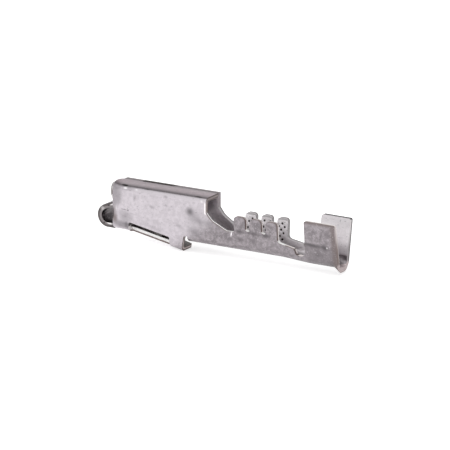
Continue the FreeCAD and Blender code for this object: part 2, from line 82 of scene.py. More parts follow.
# Colours of the outer skin
# painted shade on the top bend, a painted pinkish sheen on the flap and painted shade on it by the
# seam
TOP_BEND_SHADE = (0.28, 0.25, 0.265)
TOP_FLAP_SHEEN = (0.65, 0.545, 0.585)
FLAP_SHADE_BY_SEAM = (0.42, 0.37, 0.385)
FLAP_CLOUDS = (0.42, 0.375, 0.395)
FAR_WALL_TOP = (0.46, 0.41, 0.42)
# painted shade on the far wall's top edge where the seam is open
OPEN_SEAM_SHADE = (0.075, 0.06, 0.055)
SEAM_SHADE = (0.12, 0.10, 0.10)
# painted highlight along the box's rear rim
REAR_RIM_HIGHLIGHT = (1.0, 0.95, 0.95)
# painted highlight along the near wall's upper edge, under the bend
UPPER_WALL_HIGHLIGHT = (0.68, 0.635, 0.67)
SHADED_SPRING = (0.10, 0.09, 0.088)
STREAK_BLACK = (0.03, 0.025, 0.025)
# white of the painted highlights
HIGHLIGHT_WHITE = (1.0, 0.97, 0.98)

# Colours of the inner skin
BOX_INSIDE = (1.0, 0.96, 0.985)
NECK_INSIDE = (0.93, 0.89, 0.91)
LOW_INSIDE = (0.86, 0.82, 0.84)
# painted shade on the box's floor inside
BOX_FLOOR_SHADE = (0.12, 0.105, 0.10)
WALL_HIGH = (0.76, 0.725, 0.745)
# barrels' inner walls: painted light in the middle, where the near wall keeps light off, and painted
# shade at the foot
WALL_MIDDLE_LIT = (1.0, 0.96, 0.98)
WALL_FOOT_SHADE = (0.60, 0.56, 0.58)
# painted shade along the fingers' inner rim
FINGER_RIM_SHADE = (0.46, 0.44, 0.445)
WALL_CLOUDS = (0.55, 0.53, 0.54)
# painted shade on the floor inside the ears
EARS_FLOOR_SHADE = (0.29, 0.265, 0.275)
TIP_INSIDE = (0.68, 0.58, 0.59)
# painted shade inside the loop
LOOP_INSIDE_SHADE = (0.078, 0.067, 0.071)

# Colours of the cut edges that look sideways
SIDE_WHITE = (1.0, 0.98, 0.97)
LOOP_INNER_HALF = (0.26, 0.234, 0.238)
LOOP_OUTER_HALF = (0.115, 0.10, 0.10)
LOOP_RIM = (0.07, 0.06, 0.058)
LOOP_BLACK = (0.04, 0.035, 0.035)
# white of the painted highlights on the loop's cut edge
LOOP_HIGHLIGHT_WHITE = (0.95, 0.92, 0.92)

# Colours of the cut edges that look along the strip
NEAR_FINGER = (0.86, 0.80, 0.79)
FAR_FINGER = (0.38, 0.355, 0.36)
FAR_FINGER_RIM = (0.18, 0.165, 0.17)
NEAR_EAR = (0.74, 0.68, 0.67)
NEAR_EAR_RIM = (0.46, 0.40, 0.40)
NEAR_EAR_FOOT = (0.38, 0.33, 0.32)
FAR_EAR = (0.76, 0.72, 0.73)
FAR_EAR_FOOT = (0.34, 0.31, 0.32)
FAR_EAR_RIM = (0.10, 0.09, 0.095)
TIP_CUT = (0.52, 0.44, 0.44)
BOX_END_LINE = (0.58, 0.50, 0.49)
BOX_END_TOP = (0.16, 0.13, 0.13)
BOX_END_FAR = (0.34, 0.30, 0.315)
SLOT_END = (0.86, 0.83, 0.83)
SLOT_END_TOP = (0.10, 0.09, 0.09)
MOUTH_GREY = (0.66, 0.64, 0.64)

# Colours of the cut edges that look up
TOP_WHITE = (1.0, 0.99, 0.98)
FINGER_TOP = (0.56, 0.51, 0.51)
REAR_TOP = (0.84, 0.79, 0.78)
DARK_RIM = (0.16, 0.145, 0.15)
FAR_GREY = (0.50, 0.47, 0.48)
FAR_EAR_BLACK = (0.045, 0.04, 0.045)
NOTCH_FRONT = (0.13, 0.10, 0.095)
NOTCH_MIDDLE = (0.80, 0.73, 0.72)
NOTCH_REAR = (0.34, 0.31, 0.32)

# Depth of the metal's grain, in mm, and how far the break in a cut edge wanders and how softly
# it sets in, both in shares of the sheet
GRAIN_DEPTH = 0.006
BREAK_WANDER = 0.24
BREAK_BLEND = 0.14

# Regions of faces narrower than this many strip thicknesses are cut edges or pits, and the
# pits are shorter than this, in mm
NARROW = 1.12
PIT_REACH = 0.25

# Least share of a face's normal that makes it look up, or along the strip
LOOKS_UP = 0.4
LOOKS_ALONG = 0.6

# Corners closer than this are one, in mm
MERGE_DISTANCE = 0.0004


class SheetSettings(bpy.types.PropertyGroup):
    edge_rounding: bpy.props.FloatProperty(
        name="Edge rounding", description="Radius of the rounded edges of the cut sheet, in mm",
        default=0.022, min=0.0, max=0.1)
    smooth_angle: bpy.props.FloatProperty(
        name="Smooth angle", description="Faces that meet at less than this are one smooth face",
        default=math.radians(32.0), subtype="ANGLE")
    strip_thickness: bpy.props.FloatProperty(
        name="Strip thickness", description="Thickness of the sheet, in mm",
        default=0.30, min=0.05)
    tin: bpy.props.FloatVectorProperty(
        name="Tin", description="Tin plating on the box", subtype="COLOR",
        size=3, default=(0.535, 0.496, 0.528), min=0.0, max=1.0)
    # Darker tin outside the barrels: painted shade for the darker floor near the object that they
    # mirror
    shaded_barrel_tin: bpy.props.FloatVectorProperty(
        name="Dull tin", description="Duller plating outside the barrels", subtype="COLOR",
        size=3, default=(0.292, 0.264, 0.279), min=0.0, max=1.0)
    stained: bpy.props.FloatVectorProperty(
        name="Stained tin", description="Brownish tin along the ears' edges and by the mouth",
        subtype="COLOR", size=3, default=(0.172, 0.143, 0.140), min=0.0, max=1.0)
    bare_metal: bpy.props.FloatVectorProperty(
        name="Bare metal", description="Metal that the cut lays bare", subtype="COLOR",
        size=3, default=(0.215, 0.165, 0.158), min=0.0, max=1.0)


class StageSettings(bpy.types.PropertyGroup):
    floor_size: bpy.props.FloatProperty(
        name="Floor size", description="Length of the floor's sides", subtype="DISTANCE",
        default=0.6, min=0.05)
    floor_colour: bpy.props.FloatVectorProperty(
        name="Floor colour", description="Colour of the floor", subtype="COLOR",
        size=3, default=(0.86, 0.86, 0.86), min=0.0, max=1.0)
    floor_lift: bpy.props.FloatProperty(
        name="Floor lift", description="White added to the floor where it is seen",
        default=0.58, min=0.0, max=1.0)
    white_to: bpy.props.FloatProperty(
        name="White to", description="Where the backdrop's white ends, from -1 in front to 1 behind",
        default=-0.40, min=-1.0, max=1.0)
    grey_from: bpy.props.FloatProperty(
        name="Grey from", description="Where its grey begins, from -1 in front to 1 behind",
        default=-0.05, min=-1.0, max=1.0)
    grey_to: bpy.props.FloatProperty(
        name="Grey to", description="Where its grey stops changing, from -1 in front to 1 behind",
        default=0.85, min=-1.0, max=1.0)
    grey_above: bpy.props.FloatProperty(
        name="Grey above", description="Brightness of the grey overhead",
        default=0.36, min=0.0, max=1.0)
    grey_behind: bpy.props.FloatProperty(
        name="Grey behind", description="Brightness of the grey low behind the object",
        default=0.66, min=0.0, max=1.0)
    light_size: bpy.props.FloatProperty(
        name="Light size", description="Length of the overhead light's sides", subtype="DISTANCE",
        default=0.12, min=0.001)
    light_height: bpy.props.FloatProperty(
        name="Light height", description="Height of the overhead light", subtype="DISTANCE",
        default=0.12, min=0.01)
    light_power: bpy.props.FloatProperty(
        name="Light power", description="Power of the overhead light", unit="POWER",
        default=0.045, min=0.0)
    lens: bpy.props.FloatProperty(
        name="Lens", description="Focal length, long enough to keep lines parallel",
        subtype="DISTANCE_CAMERA", default=1600.0, min=50.0)


def rgba(colour):
    if hasattr(colour, "is_output"):
        return colour
    return (*colour, 1.0)


def scaled(colour, factor):
    return tuple(min(c * factor, 1.0) for c in colour)


class Nodes:
    """Short calls for a node tree."""

    def __init__(self, tree):
        self.tree = tree

    def add(self, kind, **values):
        node = self.tree.nodes.new(kind)
        for key, value in values.items():
            setattr(node, key, value)
        return node

    def link(self, source, socket):
        """Links an output to a socket, or gives the socket a value."""
        if hasattr(source, "is_output"):
            self.tree.links.new(source, socket)
        else:
            socket.default_value = source

    def range(self, value, low, high, out_low=0.0, out_high=1.0, blend="SMOOTHSTEP"):
        """Turns the values from low to high into those from out_low to out_high."""
        node = self.add("ShaderNodeMapRange", interpolation_type=blend)
        self.link(value, node.inputs["Value"])
        self.link(low, node.inputs["From Min"])
        self.link(high, node.inputs["From Max"])
        self.link(out_low, node.inputs["To Min"])
        self.link(out_high, node.inputs["To Max"])
        return node.outputs["Result"]

    def math(self, operation, first, second):
        node = self.add("ShaderNodeMath", operation=operation)
        self.link(first, node.inputs[0])
        self.link(second, node.inputs[1])
        return node.outputs[0]

    def times(self, first, second):
        """Where two masks both hold, or a share of one."""
        return self.math("MULTIPLY", first, second)

    def y_of(self, vector):
        split = self.add("ShaderNodeSeparateXYZ")
        self.link(vector, split.inputs[0])
        return split.outputs["Y"]

    def mix(self, factor, first, second):
        """The first colour where the factor is 0, and the second where it is 1."""
        node = self.add("ShaderNodeMix", data_type="RGBA")
        self.link(factor, node.inputs["Factor"])
        self.link(rgba(first), node.inputs["A"])
        self.link(rgba(second), node.inputs["B"])
        return node.outputs["Result"]

    def tinted(self, colour, mask, strength, tint):
        """A colour with a share of a tint over it where a mask holds."""
        return self.mix(self.times(mask, strength), colour, tint)


class Finish(Nodes):
    """A new material and its node tree. Sizes and places are in mm on the object."""

    def __init__(self, name):
        self.material = bpy.data.materials.new(name)
        self.material.use_nodes = True
        super().__init__(self.material.node_tree)
        self.shader = self.tree.nodes["Principled BSDF"].inputs
        self.place = self.add("ShaderNodeTexCoord").outputs["Object"]

    def placed(self, size, centre=(0, 0, 0), turn=0.0):
        """The place about a centre, in units of a size, turned about Y by degrees."""
        node = self.add("ShaderNodeMapping", vector_type="TEXTURE")
        self.link(self.place, node.inputs["Vector"])
        node.inputs["Location"].default_value = Vector(centre) * MM
        node.inputs["Rotation"].default_value = (0, math.radians(turn), 0)
        node.inputs["Scale"].default_value = Vector(size) * MM
        return node.outputs["Vector"]

    def noise(self, size, detail=3.0, rough=0.55, stretch=(1, 1, 1)):
        """Noise whose features are about a size across, from 0 to 1."""
        node = self.add("ShaderNodeTexNoise")
        self.link(self.placed([size * share for share in stretch]), node.inputs["Vector"])
        node.inputs["Scale"].default_value = 1.0
        node.inputs["Detail"].default_value = detail
        node.inputs["Roughness"].default_value = rough
        return node.outputs["Fac"]

    def blot(self, centre, size, turn, soft):
        """A soft oval mark: 1 at its centre, 0 from its edge on."""
        length = self.add("ShaderNodeVectorMath", operation="LENGTH")
        self.link(self.placed(size, centre, turn), length.inputs[0])
        return self.range(length.outputs["Value"], 1.0 - soft, 1.0, 1.0, 0.0)

    def along(self, direction, start, end):
        """Rises from 0 at a start to 1 at an end, along a direction or against it."""
        dot = self.add("ShaderNodeVectorMath", operation="DOT_PRODUCT")
        self.link(self.place, dot.inputs[0])
        dot.inputs[1].default_value = direction
        return self.range(dot.outputs["Value"], start * MM, end * MM)

    def between(self, direction, rise, fall):
        """1 between two stretches of a direction, in which it rises and falls."""
        return self.times(self.along(direction, *rise), self.along(direction, fall[1], fall[0]))

    def marked(self, colour, marks, mark_colour):
        for centre, size, turn, soft, strength in marks:
            colour = self.tinted(colour, self.blot(centre, size, turn, soft), strength, mark_colour)
        return colour

    def bump(self, height, strength):
        node = self.add("ShaderNodeBump")
        node.inputs["Strength"].default_value = strength
        node.inputs["Distance"].default_value = GRAIN_DEPTH * MM
        self.link(height, node.inputs["Height"])
        self.link(node.outputs["Normal"], self.shader["Normal"])

    def sheet_depth(self):
        """1 on the outer skin and 0 on the inner one."""
        return self.y_of(self.add("ShaderNodeUVMap", uv_map="sheet").outputs["UV"])


# Outer faces of the near wall and the near ear, in mm
WALL = -0.95
EAR = -0.97

# Marks, in mm: (centre, half size, turn in degrees, softness, strength)
# Smudges and marks on the near wall, with painted shade on the flared lip and along the floor bend
# by the mouth
DARK_MARKS_AND_SHADE = [
    ((5.92, WALL, -0.20), (0.46, 0.3, 0.42), 0.0, 1.0, 0.95),
    ((4.06, WALL, 0.53), (0.26, 0.3, 0.12), 8.0, 0.9, 0.40),
    ((1.69, WALL, 0.10), (0.18, 0.3, 0.32), 10.0, 1.0, 0.40),
    ((2.99, WALL, -0.31), (0.36, 0.3, 0.16), 20.0, 1.0, 0.40),
    ((0.86, WALL, -0.79), (0.38, 0.3, 0.030), 4.0, 0.8, 0.85),
    ((1.17, WALL, -0.81), (0.08, 0.3, 0.08), 0.0, 0.7, 0.85),
    ((1.55, WALL, -1.00), (0.40, 0.3, 0.030), 2.0, 0.9, 0.45),
    # painted shade on the flared lip at the mouth
    ((0.20, WALL, 0.08), (0.64, 0.4, 1.00), 0.0, 0.60, 0.52),
    # painted shade on the floor bend where it turns under, by the mouth
    ((1.06, -0.88, -1.82), (0.24, 0.5, 0.36), 0.0, 0.9, 0.80),
    ((2.90, WALL, -1.66), (1.90, 0.3, 0.16), 10.0, 0.9, 0.15),
    ((0.95, WALL, -1.25), (0.85, 0.3, 0.65), 0.0, 1.0, 0.45),
    # painted shade along the floor bend, by the mouth
    ((0.72, -0.88, -1.84), (1.20, 0.8, 0.40), 6.0, 0.8, 0.66),
    ((6.20, WALL, -0.60), (1.10, 0.4, 1.10), 0.0, 1.0, 0.34),
    ((3.10, WALL, -1.30), (1.20, 0.3, 0.30), 12.0, 1.0, 0.12),
    ((6.35, WALL, -1.55), (0.90, 0.3, 0.45), 10.0, 1.0, 0.42),
    ((6.55, WALL, -0.70), (0.60, 0.3, 0.35), 35.0, 1.0, 0.35),
    ((5.10, WALL, -1.30), (0.50, 0.3, 0.20), 25.0, 1.0, 0.35),
]
BARREL_MARKS = [
    ((9.62, -0.76, -1.06), (0.60, 0.4, 0.22), 0.0, 1.0, 0.80),
    ((9.60, -0.75, -1.57), (0.60, 0.4, 0.24), 6.0, 1.0, 0.60),
    ((10.65, -0.76, -1.04), (0.85, 0.4, 0.20), 3.0, 1.0, 0.70),
    ((11.62, -0.76, -1.04), (0.60, 0.4, 0.24), 6.0, 1.0, 0.80),
    ((15.15, EAR, -1.08), (1.45, 0.4, 0.20), 3.0, 1.0, 0.85),
    ((16.15, EAR, -1.14), (0.42, 0.4, 0.34), 30.0, 1.0, 0.85),
    ((15.60, EAR, -1.75), (0.80, 0.4, 0.26), -8.0, 1.0, 0.50),
    ((14.85, EAR, 0.02), (0.20, 0.4, 0.34), 0.0, 1.0, 0.45),
    ((15.95, EAR, -0.35), (0.16, 0.4, 0.40), 25.0, 1.0, 0.50),
]
# Darker brown patches low on the mouth's front edge
MOUTH_BROWN_PATCHES = [
    ((0.10, WALL, -1.15), (0.36, 0.4, 0.90), 0.0, 0.8, 0.55),
    ((0.16, WALL, -1.46), (0.32, 0.4, 0.42), -20.0, 0.9, 0.75),
]
BLACK_STREAKS = [
    ((-0.02, WALL, -1.12), (0.17, 0.4, 0.55), 0.0, 0.5, 0.75),
    ((0.82, -0.73, 0.80), (0.32, 0.16, 0.07), 0.0, 0.6, 1.00),
    ((2.55, -0.78, 0.78), (0.26, 0.14, 0.05), 0.0, 0.8, 0.55),
    ((6.45, -0.74, 0.83), (0.40, 0.14, 0.06), 0.0, 0.8, 0.60),
]
# Painted highlights and glints on the box, the neck and the near ear
PAINTED_HIGHLIGHTS = [
    ((0.95, -0.91, 0.66), (0.22, 0.2, 0.08), 0.0, 0.8, 1.0),
    ((7.90, 0.55, -0.655), (0.07, 0.3, 0.07), 0.0, 0.7, 1.0),
    ((1.80, -0.90, 0.66), (0.16, 0.3, 0.06), 0.0, 1.0, 0.7),
    ((6.80, -0.92, 0.62), (0.18, 0.3, 0.12), 25.0, 1.0, 0.6),
    ((0.27, WALL, -0.78), (0.10, 0.3, 0.26), -6.0, 1.0, 0.30),
    ((8.96, -0.80, -1.30), (0.08, 0.3, 0.28), 12.0, 0.9, 0.9),
    ((15.75, EAR, 0.36), (0.06, 0.3, 0.05), 0.0, 0.6, 1.0),
    ((16.35, EAR, -1.12), (0.07, 0.3, 0.09), 0.0, 0.8, 0.6),
]
LOOP_DARK_MARKS = [
    ((-0.46, -0.70, -0.78), (0.12, 0.2, 0.08), 0.0, 0.8, 0.90),
    ((-0.80, -0.70, -1.98), (0.11, 0.2, 0.08), 0.0, 0.8, 0.90),
    ((-0.10, -0.70, -2.04), (0.08, 0.2, 0.10), 0.0, 0.8, 0.70),
]
# Painted highlights on the loop's cut edge
LOOP_HIGHLIGHTS = [
    ((-0.20, -0.70, -0.68), (0.24, 0.2, 0.07), -18.0, 0.8, 0.9),
    ((-0.40, -0.70, -1.98), (0.28, 0.2, 0.10), 8.0, 0.6, 0.95),
    ((-0.92, -0.70, -1.04), (0.34, 0.2, 0.22), 45.0, 1.0, 0.42),
]


def top_tin(n, clouds):
    """Box's top: painted shade on the bend and by the seam, painted sheen on the flap, far wall's
    top edge.
    """
    top = n.mix(n.along(ACROSS_TOP, -0.18, 0.38), TOP_BEND_SHADE, TOP_FLAP_SHEEN)
    top = n.mix(n.along(ACROSS_TOP, 0.72, 0.98), top, FLAP_SHADE_BY_SEAM)
    top = n.tinted(top, clouds, 0.35, FLAP_CLOUDS)
    open_seam = n.between(X, (1.2, 1.5), (3.7, 3.95))
    far_wall = n.mix(open_seam, FAR_WALL_TOP, OPEN_SEAM_SHADE)
    top = n.mix(n.along(Y, 0.63, 0.66), top, far_wall)
    seam = n.between(Y, (0.575, 0.61), (0.65, 0.70))
    return n.tinted(top, seam, 0.75, SEAM_SHADE)


def box_tin(n, settings, clouds):
    """Colours of the box's outer skin, with painted highlights by the rear rim and along the wall's
    upper edge.
    """
    box = n.mix(clouds, scaled(settings.tin, 0.92), scaled(settings.tin, 1.06))
    # painted highlight on the near wall by the rear rim
    rear_rim_highlight = n.times(n.along(X, 6.98, 7.05), n.along(Z, -0.30, -0.12))
    box = n.tinted(box, rear_rim_highlight, 0.85, REAR_RIM_HIGHLIGHT)
    # painted highlight along the near wall's upper edge
    upper_wall_highlight = n.times(n.along(Z, 0.46, 0.62), n.along(X, 1.3, 1.8))
    box = n.tinted(box, upper_wall_highlight, 0.9, UPPER_WALL_HIGHLIGHT)
    on_top = n.times(n.along(ACROSS_TOP, -0.200, -0.170), n.along(Z, 0.66, 0.70))
    return n.mix(on_top, box, top_tin(n, clouds))


def barrel_tin(n, settings, clouds, blotches):
    """Colours outside the barrels: darker tin as painted shade, with ears darker below and warm
    along their edges.
    """
    # painted shade: the barrels' darker tin
    shaded_skin = n.mix(clouds, scaled(settings.shaded_barrel_tin, 0.82), scaled(settings.shaded_barrel_tin, 1.16))
    darker = scaled(settings.shaded_barrel_tin, 0.62)
    shaded_skin = n.tinted(shaded_skin, blotches, 0.75, darker)
    ears_below = n.times(n.along(Z, -0.90, -1.15), n.along(X, 14.3, 15.0))
    shaded_skin = n.tinted(shaded_skin, ears_below, 0.6, darker)
    ears_edge = n.math("MAXIMUM", n.along(X, 16.50, 16.90), n.along(Z, 0.25, 0.50))
    return n.tinted(shaded_skin, ears_edge, 0.85, settings.stained)


def outer_tin(n, settings, clouds, blotches):
    """Colours of the outer skin, with the spring inside the box in shade."""
    skin = n.mix(n.along(TO_BARRELS, 7.0, 9.4), box_tin(n, settings, clouds),
                 barrel_tin(n, settings, clouds, blotches))
    across = n.between(Y, (-0.66, -0.60), (0.60, 0.66))
    upright = n.times(n.along(ABOVE_RAMP, -1.90, -1.80), n.along(Z, 0.5, 0.3))
    lengthwise = n.between(X, (0.1, 0.4), SPRING_END)
    on_spring = n.times(n.times(across, upright), lengthwise)
    return n.mix(on_spring, skin, SHADED_SPRING)


def inner_tin(n, clouds):
    """Colours of the inner skin: painted shade in the loop and on the floors, painted light and
    shade on the barrels' walls, pale elsewhere.
    """
    box = n.mix(n.along(X, 6.6, 7.4), BOX_INSIDE, NECK_INSIDE)
    box = n.mix(n.along(Z, -0.4, -1.3), box, LOW_INSIDE)
    # painted shade on the box's floor
    box_floor_shade = n.times(n.along(Z, -1.80, -1.92), n.along(X, 5.6, 5.3))
    box = n.mix(box_floor_shade, box, BOX_FLOOR_SHADE)
    # painted light in the walls' middle and painted shade at their foot
    walls = n.mix(n.along(Z, 0.25, -0.35), WALL_HIGH, WALL_MIDDLE_LIT)
    walls = n.mix(n.along(Z, -0.9, -1.6), walls, WALL_FOOT_SHADE)
    # painted shade along the top of the fingers' inner faces
    fingers_rim_shade = n.times(n.along(Z, -0.20, -0.16), n.along(X, 13.5, 13.0))
    walls = n.mix(fingers_rim_shade, walls, FINGER_RIM_SHADE)
    walls = n.tinted(walls, clouds, 0.2, WALL_CLOUDS)
    colour = n.mix(n.along(X, *INTO_BARRELS), box, walls)
    in_ears = n.along(X, 14.8, 15.6)
    # painted shade on the floor inside the ears
    ears_floor_shade = n.times(n.along(Z, -1.85, -1.89), in_ears)
    colour = n.mix(ears_floor_shade, colour, EARS_FLOOR_SHADE)
    tip = n.times(n.along(Z, -2.36, -2.43), in_ears)
    colour = n.mix(tip, colour, TIP_INSIDE)
    # painted shade inside the loop at the mouth
    return n.mix(n.along(X, 0.5, -0.1), colour, LOOP_INSIDE_SHADE)


def tin_material(settings):
    """Satin tin: faintly cloudy, with specks, smudges and scratches, and with painted highlights and
    shade.
    """
    n = Finish("satin_tin")
    outside = n.sheet_depth()
    clouds = n.range(n.noise(0.26, detail=5, rough=0.7), 0.38, 0.62)
    blotches = n.range(n.noise(0.45, detail=4, rough=0.65, stretch=(1.3, 1, 1)), 0.50, 0.64)
    colour = n.mix(outside, inner_tin(n, clouds), outer_tin(n, settings, clouds, blotches))
    specks = n.range(n.noise(0.09, detail=2), 0.60, 0.72)
    colour = n.tinted(colour, specks, 0.35, scaled(settings.tin, 1.25))
    dark_specks = n.range(n.noise(0.13, stretch=(1.6, 1, 1)), 0.60, 0.72)
    colour = n.tinted(colour, dark_specks, 0.5, scaled(settings.tin, 0.45))
    scratches = n.range(n.noise(0.16, detail=2, stretch=(5.0, 1, 0.30)), 0.66, 0.72)
    colour = n.tinted(colour, scratches, 0.35, scaled(settings.tin, 0.50))
    colour = n.marked(colour, DARK_MARKS_AND_SHADE, scaled(settings.tin, 0.30))
    colour = n.marked(colour, BARREL_MARKS, scaled(settings.shaded_barrel_tin, 0.34))
    colour = n.marked(colour, MOUTH_BROWN_PATCHES, settings.stained)
    colour = n.marked(colour, BLACK_STREAKS, STREAK_BLACK)
    colour = n.marked(colour, PAINTED_HIGHLIGHTS, HIGHLIGHT_WHITE)
    n.link(colour, n.shader["Base Color"])

    # the barrels' inner walls are matt
    walls = n.times(n.along(X, *INTO_BARRELS), n.along(Z, -1.9, -1.7))
    matt = n.times(walls, n.math("SUBTRACT", 1.0, outside))
    n.link(n.range(matt, 0.0, 1.0, 1.0, 0.35), n.shader["Metallic"])
    n.link(n.range(n.noise(0.35, detail=4), 0.3, 0.7, 0.28, 0.40), n.shader["Roughness"])
    n.bump(n.noise(0.14, detail=4), 0.6)
    return n.material


def pit_material(settings):
    """Inside of the pits: metal darkened where the punch pressed it, and painted shade in the
    recess.
    """
    n = Finish("pressed_pit")
    dark, less_dark = scaled(settings.bare_metal, 0.25), scaled(settings.bare_metal, 0.5)
    n.link(n.mix(n.noise(0.05), dark, less_dark), n.shader["Base Color"])
    n.link(0.8, n.shader["Metallic"])
    n.link(0.6, n.shader["Roughness"])
    return n.material


class CutFinish(Finish):
    """A cut edge of the strip: bright where the punch sheared it, brown where it broke."""

    def __init__(self, name, settings):
        super().__init__(name)
        wander = self.times(self.math("SUBTRACT", self.noise(0.5), 0.5), BREAK_WANDER)
        self.level = self.math("ADD", self.sheet_depth(), wander)
        self.grain = self.noise(0.06)
        self.brown = self.grained(settings.bare_metal, 0.25)

    def grained(self, colour, strength=0.06):
        return self.mix(self.grain, scaled(colour, 1 - strength), scaled(colour, 1 + strength))

    def layered(self, inner, outer, start, end):
        """One colour towards the inner skin, and another towards the outer one."""
        return self.mix(self.range(self.level, start, end), inner, outer)

    def two_tone(self, bright, level):
        """Bright towards the inner skin, and brown beyond a level in the sheet."""
        return self.layered(bright, self.brown, level, level + BREAK_BLEND)

    def finish(self, colour, metallic=0.4):
        self.link(colour, self.shader["Base Color"])
        self.link(metallic, self.shader["Metallic"])
        self.link(0.55, self.shader["Roughness"])
        self.bump(self.grain, 0.5)
        return self.material


def cut_side(settings):
    """Edges that look sideways: the slots', the loop's and the spring's."""
    n = CutFinish("cut_side", settings)
    colour = n.two_tone(n.grained(SIDE_WHITE), 0.55)
    across = n.between(Y, (-0.66, -0.62), (-0.30, -0.25))
    upright = n.along(ABOVE_RAMP, -1.82, -1.78)
    lengthwise = n.between(X, (0.3, 0.5), SPRING_END)
    on_spring = n.times(n.times(across, upright), lengthwise)
    colour = n.mix(on_spring, colour, SHADED_SPRING)
    loop = n.layered(LOOP_INNER_HALF, LOOP_OUTER_HALF, 0.40, 0.60)
    loop = n.layered(loop, LOOP_RIM, 0.86, 0.94)
    loop = n.marked(loop, LOOP_DARK_MARKS, LOOP_BLACK)
    loop = n.marked(loop, LOOP_HIGHLIGHTS, LOOP_HIGHLIGHT_WHITE)
    return n.finish(n.mix(n.along(X, 0.25, -0.1), colour, loop))


def finger_flanks(n):
    near = n.two_tone(n.grained(NEAR_FINGER), 0.38)
    far = n.layered(FAR_FINGER, FAR_FINGER_RIM, 0.70, 0.90)
    return n.mix(n.along(Y, *NEAR_TO_FAR), near, far)


def ear_flanks(n):
    """The ears' flanks, and the cut end of the turned-down tip below them."""
    near = n.layered(n.grained(NEAR_EAR), NEAR_EAR_RIM, 0.40, 0.60)
    near_foot = n.layered(NEAR_EAR_FOOT, n.brown, 0.20, 0.32)
    near = n.mix(n.along(Z, 0.0, -1.4), near, near_foot)
    far = n.mix(n.along(Z, 0.1, -1.6), FAR_EAR, FAR_EAR_FOOT)
    far = n.layered(far, FAR_EAR_RIM, 0.52, 0.66)
    ears = n.mix(n.along(Y, *NEAR_TO_FAR), near, far)
    tip = n.times(n.along(Z, -2.15, -2.35), n.along(X, 16.0, 16.2))
    return n.mix(tip, ears, n.two_tone(n.grained(TIP_CUT), 0.85))


def box_ends(n, settings):
    """The box's rear end, and the slots' front ends: dark above, white beside, brown below."""
    line = n.times(n.range(n.level, 0.30, 0.42), n.range(n.level, 0.74, 0.62))
    box = n.mix(line, scaled(settings.bare_metal, 0.62), BOX_END_LINE)
    box = n.tinted(box, n.along(Z, 0.60, 0.66), 0.65, BOX_END_TOP)
    box = n.mix(n.along(Y, 0.58, 0.64), box, BOX_END_FAR)
    slot = n.mix(n.along(ABOVE_RAMP, -1.72, -1.64), SLOT_END, SLOT_END_TOP)
    slot = n.mix(n.along(ABOVE_RAMP, -1.94, -2.00), slot, n.brown)
    return n.mix(n.along(X, 3.0, 2.0), box, slot)


def cut_end(settings):
    """Edges that look along the strip: the fingers' and ears' flanks, the box's ends, the tip."""
    n = CutFinish("cut_end", settings)
    colour = n.mix(n.along(X, *INTO_EARS), finger_flanks(n), ear_flanks(n))
    colour = n.mix(n.along(X, 7.4, 7.2), colour, box_ends(n, settings))
    return n.finish(n.mix(n.along(X, 1.1, 0.9), colour, n.grained(MOUTH_GREY)))


def near_tops(n):
    """Near edges that look up: the neck's, the fingers' with the slots between, and the rest."""
    white = n.grained(TOP_WHITE, 0.03)
    fingers = n.two_tone(n.grained(FINGER_TOP), 0.42)
    finger_slots = n.two_tone(white, 0.84)
    fingers = n.mix(n.along(Z, -0.74, -0.82), fingers, finger_slots)
    rear = n.two_tone(n.grained(REAR_TOP), 0.50)
    neck = n.layered(DARK_RIM, white, 0.28, 0.38)
    neck = n.layered(neck, n.brown, 0.62, 0.74)
    tops = n.mix(n.along(X, 13.1, 12.9), rear, fingers)
    return n.mix(n.along(X, 9.1, 8.9), tops, neck)


def cut_top(settings):
    """Edges that look up: white and brown on the near side, grey with a dark rim on the far one."""
    n = CutFinish("cut_top", settings)
    far = n.layered(n.grained(FAR_GREY), DARK_RIM, 0.50, 0.70)
    far_ear = n.layered(FAR_GREY, FAR_EAR_BLACK, 0.20, 0.40)
    far = n.mix(n.along(X, *INTO_EARS), far, far_ear)
    colour = n.mix(n.along(Y, *NEAR_TO_FAR), near_tops(n), far)
    notch = n.mix(n.along(X, 13.98, 14.06), NOTCH_FRONT, NOTCH_MIDDLE)
    notch = n.mix(n.along(X, 14.34, 14.44), notch, NOTCH_REAR)
    in_notch = n.times(n.along(X, 13.65, 13.75), n.along(Z, -1.5, -1.6))
    return n.finish(n.mix(in_notch, colour, notch), metallic=0.0)


# The piece's finishes, and their places among its materials
FINISHES = (tin_material, pit_material, cut_side, cut_end, cut_top)
TIN, PIT, CUT_SIDE, CUT_END, CUT_TOP = range(len(FINISHES))


def select_only(piece):
    bpy.ops.object.select_all(action="DESELECT")
    piece.select_set(True)
    bpy.context.view_layer.objects.active = piece


def copy_of_node(name, new_name):
    """A CAD node's shape as a new piece with a mesh of its own and no materials."""
    piece = bpy.data.objects.new(new_name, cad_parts[name].data.copy())
    bpy.context.scene.collection.objects.link(piece)
    piece.data.materials.clear()
    return piece


def area(group):
    return sum(face.calc_area() for face in group)


def face_regions(mesh, angle):
    """Groups of faces that meet smoothly, as lists, largest area first."""
    seen = set()
    regions = []
    for start in mesh.faces:
        if start in seen:
            continue
        seen.add(start)
        group, queue = [], [start]
        while queue:
            face = queue.pop()
            group.append(face)
            for edge in face.edges:
                if len(edge.link_faces) != 2 or edge.calc_face_angle(0.0) > angle:
                    continue
                for other in edge.link_faces:
                    if other not in seen:
                        seen.add(other)
                        queue.append(other)
        regions.append(group)
    return sorted(regions, key=area, reverse=True)


def mean_width(group):
    """Area of a group of faces over half the length of its outline."""
    inside = set(group)
    outline = 0.0
    for face in group:
        for edge in face.edges:
            if any(other not in inside for other in edge.link_faces):
                outline += edge.calc_length()
    return 2.0 * area(group) / outline if outline else math.inf


def reach(group):
    """Distance from the first face of a group to its farthest one."""
    start = group[0].calc_center_median()
    return max((face.calc_center_median() - start).length for face in group)


